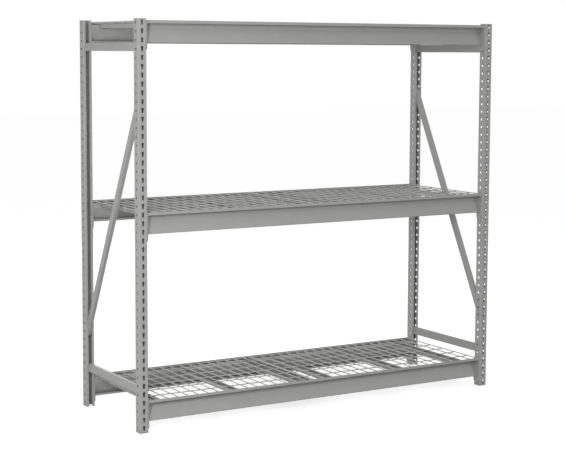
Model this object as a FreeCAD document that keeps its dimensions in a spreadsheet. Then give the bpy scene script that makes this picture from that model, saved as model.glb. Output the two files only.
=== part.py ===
import FreeCAD, Part
import math
import os

import Sketcher

# Boltless steel shelving: two welded end frames, six step beams whose end plates hook into slots
# in the posts, and a wire deck in two panels on each of the three levels.
# Millimetres. X is the width, Y runs from the front to the back, Z is up. The origin is on the
# floor, in the middle of the unit.

DIMENSIONS = [
    ("unit_width", 1946.0, "outer face of left posts to outer face of right posts"),
    ("unit_depth", 630.0, "front of front posts to back of rear posts"),
    ("unit_height", 1828.8, "48 rows of holes"),
    ("post_width", 41.3, "across the web, along X"),
    ("post_depth", 44.45, "web to lips, along Y"),
    ("post_gauge", 2.0, "steel thickness"),
    ("post_lip", 12.0, "width of each lip beside the opening"),
    ("post_bend", 3.0, "outer radius of the bends"),
    ("hole_pitch", 38.1, "row spacing"),
    ("hole_rows", 48, "rows on each post"),
    ("keyhole_base", 12.9, "narrow end of the lowest keyhole above the floor"),
    ("keyhole_rise", 15.0, "narrow centre to wide centre"),
    ("keyhole_narrow", 3.75, "radius of the narrow end"),
    ("keyhole_wide", 6.0, "radius of the wide end"),
    ("slot_inset", 22.3, "web face to the middle of the slots in the flanges"),
    ("slot_base", 20.0, "middle of the lowest slot above the floor"),
    ("slot_width", 12.5, "along Y"),
    ("slot_height", 10.0, "along Z"),
    ("slot_corner", 1.5, "corners cut on a slot"),
    ("strut_width", 15.9, "along X"),
    ("strut_height", 38.1, "along Z"),
    ("strut_gauge", 1.6, "tube wall"),
    ("strut_inset", 15.0, "front of the unit to the end of a strut, inside the post"),
    ("bottom_strut_base", 169.0, "underside of the lower strut"),
    ("top_strut_base", 1687.0, "underside of the upper strut"),
    ("diagonal_height", 32.0, "across the diagonal's broad face"),
    ("diagonal_high", 1447.0, "its centre line where it enters the upper post"),
    ("diagonal_low", 400.0, "its centre line where it enters the lower post"),
    ("diagonal_tuck", 27.0, "how far each end runs on into the post, along Y"),
    ("drain_hole", 3.0, "radius of the paint drain holes in the struts"),
    ("drain_reach", 45.5, "end of a strut to its drain hole"),
    ("first_level", 47.0, "underside of the lowest beams"),
    ("level_rows", 22, "rows from one level to the next"),
    ("beam_height", 98.4, "lip to bottom flange"),
    ("beam_gauge", 1.9, "steel thickness"),
    ("beam_bend", 3.0, "bend radius on the section's middle line"),
    ("beam_setback", 3.0, "front of the post to the lip"),
    ("beam_step", 13.0, "top of the lip to the ledge that carries the deck"),
    ("beam_wall_inset", 42.0, "front of the post to the wall behind the ledge"),
    ("beam_wall_foot", 34.0, "top of the lip to the foot of the wall"),
    ("beam_face_foot", 19.0, "front of the post to the foot of the sloping face"),
    ("beam_flange", 22.0, "width of the bottom flange"),
    ("beam_return", 9.0, "upturned edge of the bottom flange"),
    ("plate_gauge", 4.0, "end plate thickness"),
    ("plate_gap", 0.3, "running gap between plate and post"),
    ("plate_setback", 1.0, "front of the post to the end plate"),
    ("plate_depth", 42.0, "end plate along Y"),
    ("plate_rise", 1.5, "end plate above the beam"),
    ("plate_drop", 30.0, "end plate below the beam"),
    ("plate_corner", 7.0, "corner cut on the end plate"),
    ("hook_width", 9.0, "along Y, through a slot"),
    ("hook_neck", 3.6, "thickness of the neck, which rests in the slot"),
    ("hook_drop", 5.8, "nose below the neck, behind the flange"),
    ("hook_gauge", 3.5, "thickness of the nose"),
    ("hook_gap", 0.3, "hook to the slot and to the inside of the post"),
    ("hooks_per_plate", 3, "one in each of three rows"),
    ("wire_diameter", 5.0, "deck wire"),
    ("wire_bite", 0.5, "how far crossing wires melt into each other"),
    ("wire_drop", 0.5, "top of the lip to the top of the deck"),
    ("wire_pitch", 51.6, "between the front-to-back wires"),
    ("wire_first", 46.4, "left end of the beams to the first inner wire"),
    ("wire_least_gap", 20.6, "least distance from an inner wire to an edge wire"),
    ("cross_pitch", 105.0, "between the side-to-side wires"),
    ("cross_wires", 5, "inner side-to-side wires"),
    ("deck_gap", 1.5, "deck to the end plates"),
    ("deck_edge", 6.5, "front of the post to the ends of the front-to-back wires"),
    ("panel_joint", -67.0, "where the two panels of a deck meet, along X"),
    ("panel_gap", 5.0, "between the two panels"),
    ("channel_width", 38.0, "deck channel"),
    ("channel_depth", 19.0, "deck channel"),
    ("channel_gauge", 1.4, "deck channel"),
    ("ledge_gap", 0.3, "channel to ledge"),
    ("wall_gap", 1.0, "channel to the wall behind the ledge"),
    ("support_width", 50.0, "centre support"),
    ("support_depth", 32.0, "centre support"),
    ("support_centre", -61.0, "centre support along X"),
]

LEVELS = ["bottom", "middle", "top"]
SIDES = ["left", "right"]
ROWS = ["front", "rear"]
# Middle of each channel along X.
PANEL_CHANNELS = {"left": [-870.0, -466.0, -112.0], "right": [48.0, 458.0, 818.0]}

X_AXIS = FreeCAD.Vector(1, 0, 0)
Y_AXIS = FreeCAD.Vector(0, 1, 0)
Z_AXIS = FreeCAD.Vector(0, 0, 1)
HALF_TURN = FreeCAD.Rotation(Z_AXIS, 180)
NO_TURN = FreeCAD.Rotation()

doc = FreeCAD.newDocument("boltless_shelving")
sheet = doc.addObject("Spreadsheet::Sheet", "dims")
for row, (alias, value, note) in enumerate(DIMENSIONS, 1):
    sheet.set("A%d" % row, alias)
    sheet.set("B%d" % row, str(value))
    sheet.set("C%d" % row, note)
    sheet.setAlias("B%d" % row, alias)
doc.recompute()

nodes = []


def size(expression):
    """Value of a spreadsheet expression as a plain number."""
    result = sheet.evalExpression(expression)
    return float(getattr(result, "Value", result))


def finish_node(item, label, position=FreeCAD.Vector(), rotation=NO_TURN):
    """Name a sub-part, put it in place and keep it for export."""
    item.Label = label
    item.Placement = FreeCAD.Placement(position, rotation)
    nodes.append(item)
    return item


def shape_node(label, shape, position=FreeCAD.Vector(), rotation=NO_TURN):
    """A sub-part whose shape is worked out in code."""
    item = doc.addObject("Part::Feature", label)
    item.Shape = shape
    return finish_node(item, label, position, rotation)


def origin_feature(body, role):
    return [item for item in body.Origin.OriginFeatures if item.Role == role][0]


def new_sketch(body, name, plane):
    sketch = body.newObject("Sketcher::SketchObject", name)
    sketch.AttachmentSupport = [(origin_feature(body, plane), "")]
    sketch.MapMode = "FlatFace"
    return sketch


def pin_point(sketch, geometry, end, point):
    """Hold a sketch point at a pair of spreadsheet expressions."""
    for kind, expression in zip(("DistanceX", "DistanceY"), point):
        value = size(expression)
        index = sketch.addConstraint(Sketcher.Constraint(kind, -1, 1, geometry, end, value))
        sketch.setExpression("Constraints[%d]" % index, expression)


def add_polygon(sketch, points):
    """Closed outline through points given as pairs of spreadsheet expressions."""
    corners = [FreeCAD.Vector(size(a), size(b), 0) for a, b in points]
    count = len(corners)
    first = sketch.GeometryCount
    for index in range(count):
        sketch.addGeometry(Part.LineSegment(corners[index], corners[(index + 1) % count]), False)
    for index in range(count):
        follower = first + (index + 1) % count
        sketch.addConstraint(Sketcher.Constraint("Coincident", first + index, 2, follower, 1))
    for index, point in enumerate(points):
        pin_point(sketch, first + index, 1, point)


def add_circle(sketch, centre, radius):
    """Circle whose centre and radius are spreadsheet expressions."""
    middle = FreeCAD.Vector(size(centre[0]), size(centre[1]), 0)
    index = sketch.addGeometry(Part.Circle(middle, Z_AXIS, size(radius)), False)
    pin_point(sketch, index, 3, centre)
    constraint = sketch.addConstraint(Sketcher.Constraint("Radius", index, size(radius)))
    sketch.setExpression("Constraints[%d]" % constraint, radius)


def add_cut_rectangle(sketch, near, far, low, high, cut):
    """Rectangle with its corners cut off at 45 degrees. Everything is a spreadsheet expression."""
    add_polygon(sketch, [
        (near + " + " + cut, low), (far + " - " + cut, low), (far, low + " + " + cut),
        (far, high + " - " + cut), (far + " - " + cut, high), (near + " + " + cut, high),
        (near, high + " - " + cut), (near, low + " + " + cut)])


def add_keyhole(sketch, across):
    """Teardrop at the foot of a post: a wide round end above a narrow one, joined by tangents."""
    narrow, wide, rise = size("dims.keyhole_narrow"), size("dims.keyhole_wide"), size("dims.keyhole_rise")
    x, low = size(across), size("dims.keyhole_base")
    lean = math.asin((wide - narrow) / rise)
    ends = []
    for centre_z, radius, start, stop in ((low + rise, wide, -lean, math.pi + lean),
                                          (low, narrow, math.pi + lean, 2 * math.pi - lean)):
        circle = Part.Circle(FreeCAD.Vector(x, centre_z, 0), Z_AXIS, radius)
        ends.append(sketch.addGeometry(Part.ArcOfCircle(circle, start, stop), False))
    top, bottom = ends
    for side in (1, -1):
        upper = FreeCAD.Vector(x + side * wide * math.cos(lean), low + rise - wide * math.sin(lean), 0)
        lower = FreeCAD.Vector(x + side * narrow * math.cos(lean), low - narrow * math.sin(lean), 0)
        line = sketch.addGeometry(Part.LineSegment(upper, lower), False)
        top_end, bottom_end = (1, 2) if side > 0 else (2, 1)
        sketch.addConstraint(Sketcher.Constraint("Tangent", top, top_end, line, 1))
        sketch.addConstraint(Sketcher.Constraint("Tangent", bottom, bottom_end, line, 2))
    pin_point(sketch, top, 3, (across, "dims.keyhole_base + dims.keyhole_rise"))
    pin_point(sketch, bottom, 3, (across, "dims.keyhole_base"))
    for arc, expression in ((top, "dims.keyhole_wide"), (bottom, "dims.keyhole_narrow")):
        index = sketch.addConstraint(Sketcher.Constraint("Radius", arc, size(expression)))
        sketch.setExpression("Constraints[%d]" % index, expression)


def add_pad(body, sketch, length):
    pad = body.newObject("PartDesign::Pad", sketch.Name + "_pad")
    pad.Profile = sketch
    pad.setExpression("Length", length)
    body.Tip = pad
    return pad


def repeat_rows(body, feature, count):
    """Repeat a feature up the rows of holes."""
    pattern = body.newObject("PartDesign::LinearPattern", feature.Name + "_rows")
    pattern.Originals = [feature]
    pattern.Direction = (origin_feature(body, "Z_Axis"), [""])
    pattern.Mode = "Spacing"
    pattern.setExpression("Offset", "dims.hole_pitch")
    pattern.setExpression("Occurrences", count)
    body.Tip = pattern


def add_pocket(body, sketch, name, depth, backwards=False, both_ways=False):
    """Cut a sketch into a body, and stop if it removed nothing."""
    doc.recompute()
    before = body.Shape.Volume
    pocket = body.newObject("PartDesign::Pocket", name)
    pocket.Profile = sketch
    pocket.Type = "Length"
    pocket.setExpression("Length", depth)
    pocket.Reversed = backwards
    pocket.Midplane = both_ways
    body.Tip = pocket
    doc.recompute()
    if body.Shape.Volume >= before:
        raise RuntimeError(name + " cut nothing")
    return pocket


def build_post(label, position, rotation):
    """Lipped channel, web outwards, with keyholes up the web and slots up both flanges."""
    body = doc.addObject("PartDesign::Body", label)
    width, depth, gauge, lip = "dims.post_width", "dims.post_depth", "dims.post_gauge", "dims.post_lip"
    profile = new_sketch(body, "profile", "XY_Plane")
    add_polygon(profile, [
        ("0", "0"), (width, "0"), (width, depth), (width + " - " + lip, depth),
        (width + " - " + lip, depth + " - " + gauge), (width + " - " + gauge, depth + " - " + gauge),
        (width + " - " + gauge, gauge), (gauge, gauge), (gauge, depth + " - " + gauge),
        (lip, depth + " - " + gauge), (lip, depth), ("0", depth)])
    pad = add_pad(body, profile, "dims.unit_height")
    doc.recompute()
    fillet = body.newObject("PartDesign::Fillet", "bends")
    fillet.Base = (pad, bend_edges(pad.Shape))
    fillet.setExpression("Radius", "dims.post_bend")
    body.Tip = fillet
    web = new_sketch(body, "keyhole_outline", "XZ_Plane")
    add_keyhole(web, "dims.post_width / 2")
    keyhole = add_pocket(body, web, "keyhole", "2 * dims.post_gauge")
    repeat_rows(body, keyhole, "dims.hole_rows")
    flange = new_sketch(body, "slot_outline", "YZ_Plane")
    add_cut_rectangle(flange,
                      "(dims.slot_inset - dims.slot_width / 2)", "(dims.slot_inset + dims.slot_width / 2)",
                      "(dims.slot_base - dims.slot_height / 2)", "(dims.slot_base + dims.slot_height / 2)",
                      "dims.slot_corner")
    slot = add_pocket(body, flange, "slot", "dims.post_width", backwards=True)
    repeat_rows(body, slot, "dims.hole_rows")
    return finish_node(body, label, position, rotation)


def bend_edges(shape):
    """Names of the four outer corner edges that run the length of a post."""
    corners = [(x, y) for x in (0.0, size("dims.post_width")) for y in (0.0, size("dims.post_depth"))]
    names = []
    for index, edge in enumerate(shape.Edges, 1):
        low, high = edge.BoundBox, edge.Length
        upright = abs(high - size("dims.unit_height")) < 0.01
        if upright and any(math.hypot(low.XMin - x, low.YMin - y) < 0.01 for x, y in corners):
            names.append("Edge%d" % index)
    return names


def build_tube(label, height, length, position, rotation, drain_holes):
    """Rectangular tube along local Y, centred on its X and Z, with drain holes near its ends."""
    body = doc.addObject("PartDesign::Body", label)
    profile = new_sketch(body, "profile", "XZ_Plane")
    for inset in ("0", "dims.strut_gauge"):
        half_x = "(dims.strut_width / 2 - %s)" % inset
        half_z = "(%s / 2 - %s)" % (height, inset)
        add_polygon(profile, [("-" + half_x, "-" + half_z), (half_x, "-" + half_z),
                              (half_x, half_z), ("-" + half_x, half_z)])
    pad = add_pad(body, profile, length)
    pad.Reversed = True
    doc.recompute()
    if drain_holes:
        outline = new_sketch(body, "drain_outline", "YZ_Plane")
        add_circle(outline, ("dims.drain_reach", "0"), "dims.drain_hole")
        add_circle(outline, (length + " - dims.drain_reach", "0"), "dims.drain_hole")
        add_pocket(body, outline, "drain_holes", "dims.strut_width", both_ways=True)
    return finish_node(body, label, position, rotation)


def sheet_section(points, bend, gauge):
    """Face of a bent sheet: its middle line runs through (y, z) points with rounded corners."""
    path = [FreeCAD.Vector(0, y, z) for y, z in points]
    runs = [(b - a).normalize() for a, b in zip(path, path[1:])]

    def left_of(run):
        return FreeCAD.Vector(0, -run.z, run.y)

    def side_edges(shift):
        start = path[0] + left_of(runs[0]) * shift
        edges = []
        for corner, arriving, leaving in zip(path[1:-1], runs, runs[1:]):
            turn = 1.0 if left_of(arriving).dot(leaving) > 0 else -1.0
            angle = arriving.getAngle(leaving)
            setback = bend * math.tan(angle / 2)
            enter = corner - arriving * setback
            centre = enter + left_of(arriving) * (turn * bend)
            radius = bend - turn * shift
            outward = (corner - centre).normalize()
            arc_start = enter + left_of(arriving) * shift
            arc_end = corner + leaving * setback + left_of(leaving) * shift
            edges.append(Part.LineSegment(start, arc_start).toShape())
            edges.append(Part.Arc(arc_start, centre + outward * radius, arc_end).toShape())
            start = arc_end
        edges.append(Part.LineSegment(start, path[-1] + left_of(runs[-1]) * shift).toShape())
        return edges

    left, right = side_edges(gauge / 2), side_edges(-gauge / 2)
    caps = [Part.LineSegment(left[0].Vertexes[0].Point, right[0].Vertexes[0].Point).toShape(),
            Part.LineSegment(left[-1].Vertexes[-1].Point, right[-1].Vertexes[-1].Point).toShape()]
    return Part.Face(Part.Wire(Part.__sortEdges__(left + right + caps)))


def beam_length():
    return size("dims.unit_width - 2 * (dims.post_width + dims.plate_gap + dims.plate_gauge)")


def beam_shape():
    """Step beam along X, its lip's top at z = 0 and y measured in from the front of the posts."""
    gauge, height = size("dims.beam_gauge"), size("dims.beam_height")
    lip_y = size("dims.beam_setback") + gauge / 2
    ledge_z = -size("dims.beam_step") - gauge / 2
    wall_y, face_y = size("dims.beam_wall_inset"), size("dims.beam_face_foot")
    foot_z = gauge / 2 - height
    flange_y = face_y + size("dims.beam_flange")
    points = [(lip_y, 0), (lip_y, ledge_z), (wall_y, ledge_z), (wall_y, -size("dims.beam_wall_foot")),
              (face_y, foot_z), (flange_y, foot_z), (flange_y, foot_z + size("dims.beam_return"))]
    section = sheet_section(points, size("dims.beam_bend"), gauge)
    return section.extrude(X_AXIS * beam_length())


def build_plate(label, position, rotation, outward):
    """End plate on the post's inner flange, with hooks that point outward along X, 1 or -1."""
    body = doc.addObject("PartDesign::Body", label)
    outline = new_sketch(body, "outline", "YZ_Plane")
    add_cut_rectangle(outline, "dims.plate_setback", "(dims.plate_setback + dims.plate_depth)",
                      "(-dims.plate_drop)", "(dims.beam_height + dims.plate_rise)", "dims.plate_corner")
    add_pad(body, outline, "dims.plate_gauge")
    profile = new_sketch(body, "hook_profile", "XZ_Plane")
    profile.setExpression("AttachmentOffset.Base.z", "-dims.slot_inset")
    mirror = "%s" if outward > 0 else "dims.plate_gauge - (%s)"
    root = mirror % "dims.plate_gauge / 2"
    inner = mirror % "dims.plate_gauge + dims.plate_gap + dims.post_gauge + dims.hook_gap"
    outer = mirror % ("dims.plate_gauge + dims.plate_gap + dims.post_gauge + dims.hook_gap"
                      " + dims.hook_gauge")
    seat = "(dims.slot_base + dims.hole_pitch - dims.first_level - dims.slot_height / 2 + dims.hook_gap)"
    top, tip = seat + " + dims.hook_neck", seat + " - dims.hook_drop"
    add_polygon(profile, [(root, seat), (inner, seat), (inner, tip), (outer, tip),
                          (outer, top), (root, top)])
    hook = add_pad(body, profile, "dims.hook_width")
    hook.Midplane = True
    repeat_rows(body, hook, "dims.hooks_per_plate")
    return finish_node(body, label, position, rotation)


def panel_span(side):
    """Lowest and highest X of a deck panel."""
    edge = beam_length() / 2 - size("dims.deck_gap")
    joint, gap = size("dims.panel_joint"), size("dims.panel_gap")
    return (-edge, joint - gap / 2) if side == "left" else (joint + gap / 2, edge)


def wire_panel_shape(side):
    """Welded mesh: front-to-back wires on top of side-to-side wires. The top of a beam is z = 0."""
    radius = size("dims.wire_diameter") / 2
    low, high = panel_span(side)
    edges = [low + radius, high - radius]
    pitch, margin = size("dims.wire_pitch"), size("dims.wire_least_gap")
    first, count = size("dims.wire_first") - beam_length() / 2, math.ceil(beam_length() / pitch)
    lattice = [first + pitch * index for index in range(-1, count)]
    along = edges + [x for x in lattice if edges[0] + margin < x < edges[1] - margin]
    reach = size("dims.unit_depth") / 2 - size("dims.deck_edge")
    top = -size("dims.wire_drop") - radius
    under = top - 2 * radius + size("dims.wire_bite")
    middle = (size("dims.cross_wires") - 1) / 2
    across = [size("dims.cross_pitch") * (index - middle) for index in range(int(size("dims.cross_wires")))]
    across += [radius - reach, reach - radius]
    wires = [Part.makeCylinder(radius, 2 * reach, FreeCAD.Vector(x, -reach, top), Y_AXIS) for x in along]
    wires += [Part.makeCylinder(radius, high - low, FreeCAD.Vector(low, y, under), X_AXIS) for y in across]
    return wires[0].multiFuse(wires[1:])


def channel_top():
    """Underside of the side-to-side wires, below the top of the beam."""
    return -size("dims.wire_drop + 2 * dims.wire_diameter - dims.wire_bite")


def channel_shape(centre, width, depth):
    """Open channel from ledge to ledge, its ends coped so that its upper edges lie on the ledges."""
    gauge = size("dims.channel_gauge")
    reach = size("dims.unit_depth / 2 - dims.deck_edge")
    clear = size("dims.unit_depth / 2 - dims.beam_wall_inset - dims.beam_gauge / 2 - dims.wall_gap")
    top = channel_top()
    ledge = -size("dims.beam_step") + size("dims.ledge_gap")
    solid = Part.makeBox(width, 2 * reach, depth, FreeCAD.Vector(centre - width / 2, -reach, top - depth))
    hollow = Part.makeBox(width - 2 * gauge, 2 * reach, depth,
                          FreeCAD.Vector(centre - width / 2 + gauge, -reach, top - depth + gauge))
    solid = solid.cut(hollow)
    for start in (-reach, clear):
        cope = Part.makeBox(width, reach - clear, ledge - (top - depth),
                            FreeCAD.Vector(centre - width / 2, start, top - depth))
        solid = solid.cut(cope)
    return solid


def build_end_frame(side):
    """Two posts, two struts and a diagonal, all inside the posts' openings."""
    width, depth, height = size("dims.unit_width"), size("dims.unit_depth"), size("dims.unit_height")
    post = size("dims.post_width")
    low_x = -width / 2 if side == "left" else width / 2 - post
    middle_x = low_x + post / 2
    build_post("post_front_" + side, FreeCAD.Vector(low_x, -depth / 2, 0), NO_TURN)
    build_post("post_rear_" + side, FreeCAD.Vector(low_x + post, depth / 2, 0), HALF_TURN)
    inset = size("dims.strut_inset")
    for name, base in (("bottom", "dims.bottom_strut_base"), ("top", "dims.top_strut_base")):
        middle_z = size(base) + size("dims.strut_height") / 2
        build_tube("%s_frame_%s_strut" % (side, name), "dims.strut_height",
                   "(dims.unit_depth - 2 * dims.strut_inset)",
                   FreeCAD.Vector(middle_x, inset - depth / 2, middle_z), NO_TURN, True)
    rise, run = size("dims.diagonal_high - dims.diagonal_low"), size("dims.unit_depth - 2 * dims.post_depth")
    slope = math.atan2(rise, run)
    length = math.hypot(rise, run) + 2 * size("dims.diagonal_tuck") / math.cos(slope)
    # The left diagonal is high at the front, the right one at the back.
    lean = -slope if side == "left" else slope
    turn = FreeCAD.Rotation(X_AXIS, math.degrees(lean))
    middle = FreeCAD.Vector(middle_x, 0, size("(dims.diagonal_high + dims.diagonal_low) / 2"))
    start = middle - turn.multVec(Y_AXIS) * (length / 2)
    build_tube(side + "_frame_diagonal", "dims.diagonal_height", str(length), start, turn, False)


def build_beam(row, level, top_z):
    """Beam and its two hooked end plates, at the front or turned round to the rear."""
    depth, half = size("dims.unit_depth"), beam_length() / 2
    plate, height = size("dims.plate_gauge"), size("dims.beam_height")
    facing = NO_TURN if row == "front" else HALF_TURN
    sign = 1 if row == "front" else -1
    name = "%s_beam_%s" % (row, level)
    origin = FreeCAD.Vector(-sign * half, -sign * depth / 2, top_z)
    shape_node(name, beam_shape(), origin, facing)
    for side in SIDES:
        left_end = (side == "left") == (row == "front")
        local_x = -half - plate if left_end else half
        position = FreeCAD.Vector(sign * local_x, -sign * depth / 2, top_z - height)
        outward = -1 if left_end else 1
        build_plate("%s_%s_end_plate" % (name, side), position, facing, outward)


def build_deck(level, top_z):
    """Two wire panels on their channels, and the support under the joint between them."""
    position = FreeCAD.Vector(0, 0, top_z)
    for side in SIDES:
        shape_node("%s_wire_panel_%s" % (side, level), wire_panel_shape(side), position)
        width, depth = size("dims.channel_width"), size("dims.channel_depth")
        channels = [channel_shape(centre, width, depth) for centre in PANEL_CHANNELS[side]]
        shape_node("%s_panel_channels_%s" % (side, level), Part.makeCompound(channels), position)
    support = channel_shape(size("dims.support_centre"), size("dims.support_width"),
                            size("dims.support_depth"))
    shape_node("centre_support_" + level, support, position)


def check_document():
    for item in doc.Objects:
        if "Invalid" in item.State or "Error" in item.State:
            raise RuntimeError("%s did not compute: %s" % (item.Label, item.State))
    for item in nodes:
        if item.Shape.isNull() or not item.Shape.isValid():
            raise RuntimeError(item.Label + " has no valid shape")


for side in SIDES:
    build_end_frame(side)
for index, level in enumerate(LEVELS):
    base_z = size("dims.first_level + %d * dims.level_rows * dims.hole_pitch" % index)
    top_z = base_z + size("dims.beam_height")
    for row in ROWS:
        build_beam(row, level, top_z)
    build_deck(level, top_z)

doc.recompute()
check_document()
os.makedirs("parts", exist_ok=True)
for item in nodes:
    item.Shape.exportStep("parts/%s.step" % item.Label)
    print(item.Label, round(item.Shape.Volume), len(item.Shape.Solids))
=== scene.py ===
import math

import bmesh
import bpy
from mathutils import Matrix, Vector


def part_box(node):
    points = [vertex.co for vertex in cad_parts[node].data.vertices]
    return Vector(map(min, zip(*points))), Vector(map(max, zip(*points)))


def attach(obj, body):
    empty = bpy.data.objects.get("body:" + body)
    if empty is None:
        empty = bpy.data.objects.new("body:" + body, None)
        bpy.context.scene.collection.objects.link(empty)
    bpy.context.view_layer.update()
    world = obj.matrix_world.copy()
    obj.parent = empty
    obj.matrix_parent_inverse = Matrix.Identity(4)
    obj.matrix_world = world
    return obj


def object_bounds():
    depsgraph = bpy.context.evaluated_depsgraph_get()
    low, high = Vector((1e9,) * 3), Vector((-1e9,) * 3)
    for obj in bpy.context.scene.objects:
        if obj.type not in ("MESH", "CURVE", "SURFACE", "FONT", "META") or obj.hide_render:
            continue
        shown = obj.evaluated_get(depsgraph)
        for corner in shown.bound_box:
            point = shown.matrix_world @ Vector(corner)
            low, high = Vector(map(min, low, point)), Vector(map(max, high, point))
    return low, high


# Looks for the boltless steel shelving: satin grey paint on every steel part, and the welds that
# hold the parts together. Metres, in the frame of the CAD model.

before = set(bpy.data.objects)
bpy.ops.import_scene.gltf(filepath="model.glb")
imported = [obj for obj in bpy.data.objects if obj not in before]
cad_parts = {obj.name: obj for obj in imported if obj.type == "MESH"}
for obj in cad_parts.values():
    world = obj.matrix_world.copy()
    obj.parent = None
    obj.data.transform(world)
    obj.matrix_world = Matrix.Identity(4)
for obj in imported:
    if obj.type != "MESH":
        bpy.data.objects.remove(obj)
cad_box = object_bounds()

UNIT_WIDTH = cad_box[1].x - cad_box[0].x
UNIT_DEPTH = cad_box[1].y - cad_box[0].y

LEVELS = ("bottom", "middle", "top")
SIDES = ("left", "right")
ROWS = ("front", "rear")

# Half the opening between a post's lips, where the struts and diagonals are welded.
HALF_OPENING = 0.0083
DIAGONAL_HIGH = 1.447
DIAGONAL_LOW = 0.400
DIAGONAL_FACE = 0.032

# The beam's outer profile: distance in from the face of the posts, and height below its top.
BEAM_RUNS = (((0.0030, -0.0015), (0.0030, -0.0125)),
             ((0.0411, -0.0165), (0.0411, -0.0335), (0.0182, -0.0960)))
SPOT_PITCH = 0.265
SPOT_FIRST = 0.145
SPOT_DROP = 0.026
SPOT_DEPTH = 0.04095
SPOT_END_CLEARANCE = 0.04
SPOT_RADIUS = 0.0032
SPOT_RIM = 0.0009

WIRE_RADIUS = 0.0025
WIRE_PITCH = 0.0516
WIRE_FIRST = 0.0464
WIRE_MARGIN = 0.4 * WIRE_PITCH
WIRE_BITE = 0.0005
CROSS_PITCH = 0.105
CROSS_WIRES = 5
CHANNEL_WIDTH = 0.038
CHANNEL_GAUGE = 0.0014
PANEL_CHANNELS = {"left": (-0.870, -0.466, -0.112), "right": (0.048, 0.458, 0.818)}

# Weld metal: the beads, and the half sizes of the lumps on the deck.
BEAD_RADIUS = 0.0021
BEAM_BEAD_RADIUS = 0.0018
BEAM_BEAD_INSET = 0.0008
BEAD_STEP = 0.0016
BEAD_SIDES = 8
BEAD_END_GAP = 0.002
DIAGONAL_BEAD_GAP = 0.003
CROSSING_LUMP = (0.0029, 0.0027, 0.0016)
CHANNEL_LUMP = (0.0020, 0.0030, 0.0014)
CHANNEL_LUMP_RISE = 0.0002
LUMP_INSET = 0.003

# ---------------------------------------------------------------- materials

PAINT = (0.335, 0.335, 0.329)
BARE_STEEL = (0.52, 0.52, 0.50)
DUST = (0.47, 0.465, 0.45)
# Colour of the painted shade in recesses, as a share of the paint's, and how near a wall has to be.
RECESS_SHADE_TONE = 0.16
RECESS_SHADE_REACH = 0.04
EDGE_RADIUS = 0.0011
SCUFF_DEPTH = 0.00012

# Scales of the noise patterns, in cycles per metre.
MOTTLE = 7.0
PATCHES = 55.0
PEEL = 520.0
GRAIN = 900.0
SCUFFS_ACROSS = 420.0
SCUFFS_ALONG = 14.0
WELD_LUMPS = 420.0
WELD_GRAIN = 1500.0

X, Y, Z = 0, 1, 2


def scaled(colour, factor):
    return tuple(channel * factor for channel in colour) + (1.0,)


class Graph:
    """A material's node tree, built one node at a time."""

    def __init__(self, name):
        self.material = bpy.data.materials.new(name)
        self.material.use_nodes = True
        self.tree = self.material.node_tree
        self.tree.nodes.clear()

    def node(self, kind, inputs=None, **settings):
        made = self.tree.nodes.new(kind)
        for key, value in settings.items():
            setattr(made, key, value)
        for key, value in (inputs or {}).items():
            if isinstance(value, bpy.types.NodeSocket):
                self.tree.links.new(value, made.inputs[key])
            else:
                made.inputs[key].default_value = value
        return made

    def noise(self, vector, scale, detail=2.0, roughness=0.5):
        made = self.node("ShaderNodeTexNoise", {
            "Vector": vector, "Scale": scale, "Detail": detail, "Roughness": roughness})
        return made.outputs["Fac"]

    def remap(self, value, low, high, to_low=0.0, to_high=1.0):
        made = self.node("ShaderNodeMapRange", {
            "Value": value, "From Min": low, "From Max": high, "To Min": to_low, "To Max": to_high})
        return made.outputs["Result"]

    def math(self, operation, first, second):
        return self.node("ShaderNodeMath", {0: first, 1: second}, operation=operation).outputs[0]

    def mix(self, factor, first, second):
        made = self.node("ShaderNodeMix", data_type="RGBA")
        for index, value in ((0, factor), (6, first), (7, second)):
            if isinstance(value, bpy.types.NodeSocket):
                self.tree.links.new(value, made.inputs[index])
            else:
                made.inputs[index].default_value = value
        return made.outputs[2]


def edge_mask(graph, radius):
    """1 on the sharp edges of the sheet metal, fading to 0 on its flats."""
    rounded = graph.node("ShaderNodeBevel", {"Radius": radius}, samples=6).outputs["Normal"]
    flat = graph.node("ShaderNodeNewGeometry").outputs["Normal"]
    agreement = graph.node("ShaderNodeVectorMath", {0: rounded, 1: flat}, operation="DOT_PRODUCT")
    return graph.remap(agreement.outputs["Value"], 0.995, 0.86)


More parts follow.
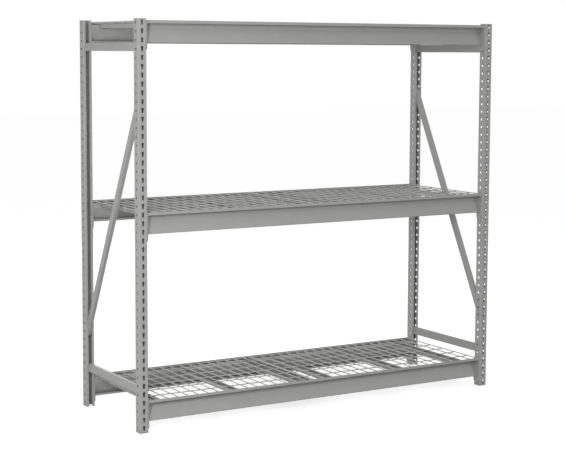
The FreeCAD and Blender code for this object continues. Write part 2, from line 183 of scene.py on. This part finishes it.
def painted_steel(name, tone, wear, peel_depth, scuff_axis):
    """Satin powder coat: faint mottling, orange peel, rubbed edges, scuffs, dust, and painted shade that
    darkens the colour in recesses.
    """
    graph = Graph(name)
    place = graph.node("ShaderNodeTexCoord").outputs["Object"]
    mottle = graph.noise(place, MOTTLE, 4.0, 0.6)
    grain = graph.noise(place, GRAIN, 2.0)
    peel = graph.noise(place, PEEL, 1.5)
    patches = graph.noise(place, PATCHES, 5.0, 0.65)
    stretch = [SCUFFS_ACROSS] * 3
    stretch[scuff_axis] = SCUFFS_ALONG
    stretched = graph.node("ShaderNodeMapping", {"Vector": place, "Scale": stretch}).outputs[0]
    scuffs = graph.remap(graph.noise(stretched, 1.0, 3.0, 0.6), 0.66, 0.76)
    scuffs = graph.math("MULTIPLY", scuffs, graph.remap(patches, 0.50, 0.66))

    colour = graph.mix(graph.remap(mottle, 0.3, 0.7), scaled(PAINT, tone * 0.955),
                       scaled(PAINT, tone * 1.03))
    colour = graph.mix(graph.remap(grain, 0.35, 0.75, 0.0, 0.22), colour, scaled(PAINT, tone * 1.22))
    colour = graph.mix(graph.math("MULTIPLY", scuffs, 0.30), colour, scaled(PAINT, tone * 1.30))
    upward = graph.node("ShaderNodeSeparateXYZ", {
        0: graph.node("ShaderNodeNewGeometry").outputs["Normal"]}).outputs["Z"]
    dust = graph.math("MULTIPLY", graph.remap(upward, 0.55, 1.0, 0.0, 0.35),
                      graph.remap(patches, 0.35, 0.65, 0.4, 1.0))
    colour = graph.mix(dust, colour, scaled(DUST, tone))
    edges = graph.math("MULTIPLY", edge_mask(graph, EDGE_RADIUS),
                       graph.remap(patches, 0.42, 0.62, 0.15, 1.0))
    worn = graph.math("MULTIPLY", edges, wear)
    colour = graph.mix(worn, colour, scaled(BARE_STEEL, tone))
    # Painted shade: ambient occlusion darkens the colour near other surfaces, in recesses, channels and
    # corners.
    recess_occlusion = graph.node("ShaderNodeAmbientOcclusion", {"Distance": RECESS_SHADE_REACH}, samples=4)
    painted_recess_shade = graph.remap(recess_occlusion.outputs["AO"], 0.08, 0.60, 0.85, 0.0)
    colour = graph.mix(painted_recess_shade, colour, scaled(PAINT, tone * RECESS_SHADE_TONE))

    rough = graph.remap(mottle, 0.25, 0.75, 0.40, 0.52)
    rough = graph.math("ADD", rough, graph.math("MULTIPLY", scuffs, 0.10))
    rough = graph.math("ADD", rough, graph.math("MULTIPLY", dust, 0.45))
    rough = graph.math("ADD", rough, graph.math("MULTIPLY", worn, -0.10))

    fine = graph.node("ShaderNodeBump", {"Strength": 0.5, "Distance": peel_depth, "Height": peel})
    bump = graph.node("ShaderNodeBump", {
        "Strength": 0.35, "Distance": SCUFF_DEPTH, "Height": scuffs,
        "Normal": fine.outputs[0]}, invert=True)
    shader = graph.node("ShaderNodeBsdfPrincipled", {
        "Base Color": colour, "Roughness": rough, "Normal": bump.outputs[0],
        "Metallic": 0.0, "IOR": 1.48, "Specular IOR Level": 0.42})
    graph.node("ShaderNodeOutputMaterial", {"Surface": shader.outputs[0]})
    return graph.material


def weld_material(name, tone):
    """Painted-over weld metal: lumpy, with uneven gloss."""
    graph = Graph(name)
    place = graph.node("ShaderNodeTexCoord").outputs["Object"]
    lumps = graph.noise(place, WELD_LUMPS, 3.0, 0.6)
    fine = graph.noise(place, WELD_GRAIN, 2.0)
    colour = graph.mix(graph.remap(lumps, 0.35, 0.7), scaled(PAINT, tone * 0.82),
                       scaled(PAINT, tone * 1.08))
    rough = graph.remap(fine, 0.3, 0.7, 0.42, 0.62)
    bump = graph.node("ShaderNodeBump", {"Strength": 0.7, "Distance": 0.0003, "Height": lumps})
    shader = graph.node("ShaderNodeBsdfPrincipled", {
        "Base Color": colour, "Roughness": rough, "Normal": bump.outputs[0], "Metallic": 0.0})
    graph.node("ShaderNodeOutputMaterial", {"Surface": shader.outputs[0]})
    return graph.material


POST_PAINT = painted_steel("post_paint", tone=1.0, wear=0.55, peel_depth=0.00006, scuff_axis=Z)
STRUT_PAINT = painted_steel("strut_paint", tone=0.98, wear=0.45, peel_depth=0.00006, scuff_axis=Y)
BEAM_PAINT = painted_steel("beam_paint", tone=0.99, wear=0.55, peel_depth=0.00007, scuff_axis=X)
PLATE_PAINT = painted_steel("plate_paint", tone=1.02, wear=0.60, peel_depth=0.00007, scuff_axis=Z)
# Painted light: the wires wear the same grey paint, made about a quarter lighter to stand in for their
# lit tops.
LIT_WIRE_PAINT = painted_steel("lit_wire_paint", tone=1.24, wear=0.35, peel_depth=0.00005, scuff_axis=Y)
CHANNEL_PAINT = painted_steel("channel_paint", tone=1.02, wear=0.50, peel_depth=0.00006, scuff_axis=Y)
WELD_PAINT = weld_material("weld_paint", 0.98)

# The first word that occurs in a node's name settles its finish.
FINISHES = (("end_plate", PLATE_PAINT), ("post", POST_PAINT), ("frame", STRUT_PAINT),
            ("beam", BEAM_PAINT), ("wire", LIT_WIRE_PAINT), ("channels", CHANNEL_PAINT),
            ("support", CHANNEL_PAINT))

for name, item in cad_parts.items():
    finish = next(material for word, material in FINISHES if word in name)
    for slot in item.material_slots:
        slot.material = finish

# ---------------------------------------------------------------- welds


def new_piece(name, mesh, body):
    """Turn a bmesh into a smooth piece that rides on a body."""
    data = bpy.data.meshes.new(name)
    bmesh.ops.recalc_face_normals(mesh, faces=mesh.faces)
    mesh.to_mesh(data)
    mesh.free()
    for face in data.polygons:
        face.use_smooth = True
    data.materials.append(WELD_PAINT)
    item = bpy.data.objects.new(name, data)
    bpy.context.scene.collection.objects.link(item)
    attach(item, body)


def add_bead(mesh, points, radius=BEAD_RADIUS, phase=0.0):
    """Rippled weld bead through the given points, tapered at both ends. The phase shifts its ripple."""
    stations = []
    for start, end in zip(points, points[1:]):
        start, end = Vector(start), Vector(end)
        count = max(2, int((end - start).length / BEAD_STEP))
        last = count + 1 if end == Vector(points[-1]) else count
        along = (end - start).normalized()
        stations += [(start.lerp(end, index / count), along) for index in range(last)]
    rings = []
    total = len(stations)
    for index, (centre, along) in enumerate(stations):
        side = along.orthogonal().normalized()
        other = along.cross(side)
        ripple = 1.0 + 0.13 * math.sin(index * 1.9 + phase) + 0.06 * math.sin(index * 0.61 + 2.0 * phase)
        end_share = min(index, total - 1 - index)
        taper = min(1.0, 0.35 + 0.25 * end_share)
        width = radius * ripple * taper
        ring = []
        for corner in range(BEAD_SIDES):
            angle = 2.0 * math.pi * corner / BEAD_SIDES
            outward = side * math.cos(angle) + other * math.sin(angle)
            ring.append(mesh.verts.new(centre + outward * width))
        rings.append(ring)
    for first, second in zip(rings, rings[1:]):
        for corner in range(BEAD_SIDES):
            following = (corner + 1) % BEAD_SIDES
            mesh.faces.new((first[corner], first[following], second[following], second[corner]))
    mesh.faces.new(list(reversed(rings[0])))
    mesh.faces.new(rings[-1])


def add_blob(mesh, centre, half_size, phase):
    """Small lump of weld metal, a squashed ball turned by its phase."""
    turn = Matrix.Rotation(phase, 4, "Z")
    placed = Matrix.Translation(centre) @ turn @ Matrix.Diagonal((*half_size, 1.0))
    bmesh.ops.create_uvsphere(mesh, u_segments=8, v_segments=5, radius=1.0, matrix=placed)


def frame_welds(side):
    """Beads down both sides of each strut and diagonal where they pass between the posts' lips."""
    mesh = bmesh.new()
    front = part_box("post_front_" + side)
    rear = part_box("post_rear_" + side)
    middle_x = (front[0].x + front[1].x) / 2
    planes = (("front", front[1].y), ("rear", rear[0].y))
    for level in ("bottom", "top"):
        low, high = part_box("%s_frame_%s_strut" % (side, level))
        for row, plane in planes:
            for turn in (-1, 1):
                x = middle_x + turn * HALF_OPENING
                ends = [(x, plane, low.z + BEAD_END_GAP), (x, plane, high.z - BEAD_END_GAP)]
                add_bead(mesh, ends, phase=x * 900 + plane * 70)
    rise = DIAGONAL_HIGH - DIAGONAL_LOW
    run = rear[0].y - front[1].y
    slope = math.atan2(rise, run)
    half_cut = DIAGONAL_FACE / 2 / math.cos(slope)
    heights = {"front": DIAGONAL_HIGH, "rear": DIAGONAL_LOW}
    if side == "right":
        heights = {"front": DIAGONAL_LOW, "rear": DIAGONAL_HIGH}
    for row, plane in planes:
        for turn in (-1, 1):
            x = middle_x + turn * HALF_OPENING
            z = heights[row]
            reach = half_cut - DIAGONAL_BEAD_GAP
            add_bead(mesh, [(x, plane, z - reach), (x, plane, z + reach)], phase=x * 700 + z)
    new_piece(side + "_frame_welds", mesh, "frames")


def beam_welds(row, level):
    """Beads that join a beam to its end plates, and the spot welds along its wall."""
    node = "%s_beam_%s" % (row, level)
    low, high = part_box(node)
    facing = 1.0 if row == "front" else -1.0
    face = -UNIT_DEPTH / 2 * facing
    mesh = bmesh.new()
    for x, inward in ((low.x, 1), (high.x, -1)):
        for run in BEAM_RUNS:
            points = [(x + inward * BEAM_BEAD_INSET, face + facing * y, high.z + z) for y, z in run]
            add_bead(mesh, points, BEAM_BEAD_RADIUS, phase=x * 50 + high.z)
    position = -UNIT_WIDTH / 2 + SPOT_FIRST
    while position < high.x - SPOT_END_CLEARANCE:
        centre = Vector((position * facing, face + facing * SPOT_DEPTH, high.z - SPOT_DROP))
        add_ring(mesh, centre, SPOT_RADIUS, SPOT_RIM)
        position += SPOT_PITCH
    new_piece(node + "_welds", mesh, node)


def add_ring(mesh, centre, radius, thickness):
    """Raised rim of a spot weld on an upright wall that faces along Y."""
    around, across = 16, 6
    rings = []
    for index in range(around):
        angle = 2.0 * math.pi * index / around
        out = Vector((math.cos(angle), 0.0, math.sin(angle)))
        ring = []
        for corner in range(across):
            turn = 2.0 * math.pi * corner / across
            outward = out * (radius + thickness * math.cos(turn))
            lift = Vector((0.0, 0.6 * thickness * math.sin(turn), 0.0))
            ring.append(mesh.verts.new(centre + (outward + lift)))
        rings.append(ring)
    for index in range(around):
        first, second = rings[index], rings[(index + 1) % around]
        for corner in range(across):
            following = (corner + 1) % across
            mesh.faces.new((first[corner], second[corner], second[following], first[following]))


def inset(value, low, high):
    """Keep a lump's centre just inside the panel."""
    return min(max(value, low + LUMP_INSET), high - LUMP_INSET)


def deck_welds(side, level):
    """Nuggets where the deck's wires cross, and where its side-to-side wires sit on the channels."""
    mesh = bmesh.new()
    low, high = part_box("%s_wire_panel_%s" % (side, level))
    left_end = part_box("front_beam_" + level)[0].x
    edges = [low.x + WIRE_RADIUS, high.x - WIRE_RADIUS]
    count = math.ceil(UNIT_WIDTH / WIRE_PITCH)
    lattice = [left_end + WIRE_FIRST + WIRE_PITCH * index for index in range(-1, count)]
    along = edges + [x for x in lattice if edges[0] + WIRE_MARGIN < x < edges[1] - WIRE_MARGIN]
    middle = (CROSS_WIRES - 1) / 2
    across = [CROSS_PITCH * (index - middle) for index in range(CROSS_WIRES)]
    across += [low.y + WIRE_RADIUS, high.y - WIRE_RADIUS]
    joint_z = high.z - 2 * WIRE_RADIUS + WIRE_BITE / 2
    for row, x in enumerate(sorted(along)):
        for column, y in enumerate(sorted(across)):
            centre = (inset(x, low.x, high.x), inset(y, low.y, high.y), joint_z)
            add_blob(mesh, centre, CROSSING_LUMP, row * 1.7 + column * 0.9)
    channel_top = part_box("%s_panel_channels_%s" % (side, level))[1].z
    for centre in PANEL_CHANNELS[side]:
        for turn in (-1, 1):
            x = centre + turn * (CHANNEL_WIDTH - CHANNEL_GAUGE) / 2
            for y in across:
                place = (x, inset(y, low.y, high.y), channel_top + CHANNEL_LUMP_RISE)
                add_blob(mesh, place, CHANNEL_LUMP, y * 9)
    body = "%s_deck_panel_%s" % (side, level)
    new_piece(body + "_welds", mesh, body)


for side in SIDES:
    frame_welds(side)
for level in LEVELS:
    for row in ROWS:
        beam_welds(row, level)
    for side in SIDES:
        deck_welds(side, level)

# ---------------------------------------------------------------- floor, light and camera

# Grey of the floor, and how much light it gives off of its own to look nearly white.
FLOOR_GREYS = (0.60, 0.62)
FLOOR_GLOW = 0.62
FLOOR_HALF_SIZE = 30.0

# Brightness of the surround above and below the horizon, as it lights the object.
SKY_ABOVE = 0.60
SKY_BELOW = 0.13
HORIZON_BLEND = 0.3

# Name, place, target, width, height and watts of each lamp.
LAMPS = (("key", (-3.3, -3.7, 1.75), (-0.1, 0.0, 1.1), 1.4, 1.4, 146.0),
         ("side", (-5.0, 0.6, 2.2), (0.0, 0.0, 0.9), 3.0, 2.4, 34.0),
         ("fill", (3.6, -4.6, 2.2), (0.0, 0.0, 1.1), 3.0, 3.0, 26.0),
         ("back", (1.5, 5.5, 2.6), (0.0, 0.0, 0.9), 3.0, 3.0, 80.0))

CAMERA_PLACE = (-3.7574, -6.1533, 1.6887)
CAMERA_YAW = math.radians(31.055)
CAMERA_PITCH = math.radians(5.821)
CAMERA_ROLL = math.radians(0.234)
CAMERA_SHIFT = -0.05
SENSOR_WIDTH = 36.0
FOCAL_LENGTH = 94.60


def floor_material():
    graph = Graph("floor_white")
    place = graph.node("ShaderNodeTexCoord").outputs["Object"]
    cloud = graph.noise(place, 1.2, 3.0)
    dark, light = [(grey, grey, grey, 1.0) for grey in FLOOR_GREYS]
    shader = graph.node("ShaderNodeBsdfPrincipled", {
        "Base Color": graph.mix(cloud, dark, light), "Roughness": 0.9, "Specular IOR Level": 0.1,
        "Emission Color": (1.0, 1.0, 1.0, 1.0), "Emission Strength": FLOOR_GLOW})
    graph.node("ShaderNodeOutputMaterial", {"Surface": shader.outputs[0]})
    return graph.material


def build_floor(half_size):
    """White floor that takes shadows but doesn't light the object from below."""
    data = bpy.data.meshes.new("floor")
    corners = [(-half_size, -half_size, 0), (half_size, -half_size, 0), (half_size, half_size, 0),
               (-half_size, half_size, 0)]
    data.from_pydata(corners, [], [(0, 1, 2, 3)])
    data.materials.append(floor_material())
    item = bpy.data.objects.new("floor", data)
    item.visible_diffuse = False
    bpy.context.scene.collection.objects.link(item)


def build_world(above, below):
    """Even white surround, which lights the object more from above than from below."""
    world = bpy.data.worlds.new("studio")
    world.use_nodes = True
    tree = world.node_tree
    tree.nodes.clear()
    direction = tree.nodes.new("ShaderNodeTexCoord")
    split = tree.nodes.new("ShaderNodeSeparateXYZ")
    height = tree.nodes.new("ShaderNodeMapRange")
    for name, value in (("From Min", -HORIZON_BLEND), ("From Max", HORIZON_BLEND),
                        ("To Min", below), ("To Max", above)):
        height.inputs[name].default_value = value
    path = tree.nodes.new("ShaderNodeLightPath")
    strength = tree.nodes.new("ShaderNodeMath")
    strength.operation = "MAXIMUM"
    background = tree.nodes.new("ShaderNodeBackground")
    background.inputs["Color"].default_value = (1.0, 1.0, 1.0, 1.0)
    output = tree.nodes.new("ShaderNodeOutputWorld")
    tree.links.new(direction.outputs["Generated"], split.inputs[0])
    tree.links.new(split.outputs["Z"], height.inputs["Value"])
    tree.links.new(height.outputs["Result"], strength.inputs[0])
    tree.links.new(path.outputs["Is Camera Ray"], strength.inputs[1])
    tree.links.new(strength.outputs[0], background.inputs["Strength"])
    tree.links.new(background.outputs[0], output.inputs["Surface"])
    bpy.context.scene.world = world


def add_light(name, place, target, width, height, watts):
    """Rectangular area light that points at its target."""
    data = bpy.data.lights.new(name, "AREA")
    data.shape = "RECTANGLE"
    data.size, data.size_y = width, height
    data.energy = watts
    item = bpy.data.objects.new(name, data)
    item.location = place
    item.rotation_euler = (Vector(target) - Vector(place)).to_track_quat("-Z", "Y").to_euler()
    bpy.context.scene.collection.objects.link(item)


def build_camera():
    """Camera with its yaw turned from +Y towards +X, its pitch down, and a small lens shift."""
    level = math.cos(CAMERA_PITCH)
    forward = Vector((math.sin(CAMERA_YAW) * level, math.cos(CAMERA_YAW) * level,
                      -math.sin(CAMERA_PITCH)))
    right = Vector((math.cos(CAMERA_YAW), -math.sin(CAMERA_YAW), 0.0))
    up = right.cross(forward)
    rolled_right = right * math.cos(CAMERA_ROLL) + up * math.sin(CAMERA_ROLL)
    rolled_up = up * math.cos(CAMERA_ROLL) - right * math.sin(CAMERA_ROLL)
    data = bpy.data.cameras.new("camera")
    data.sensor_width = SENSOR_WIDTH
    data.lens = FOCAL_LENGTH
    data.shift_y = CAMERA_SHIFT
    camera = bpy.data.objects.new("camera", data)
    camera.matrix_world = Matrix((
        (rolled_right.x, rolled_up.x, -forward.x, CAMERA_PLACE[0]),
        (rolled_right.y, rolled_up.y, -forward.y, CAMERA_PLACE[1]),
        (rolled_right.z, rolled_up.z, -forward.z, CAMERA_PLACE[2]),
        (0.0, 0.0, 0.0, 1.0)))
    bpy.context.scene.collection.objects.link(camera)
    bpy.context.scene.camera = camera


build_floor(FLOOR_HALF_SIZE)
build_world(SKY_ABOVE, SKY_BELOW)
for lamp in LAMPS:
    add_light(*lamp)
build_camera()
bpy.context.scene.view_settings.view_transform = "Standard"
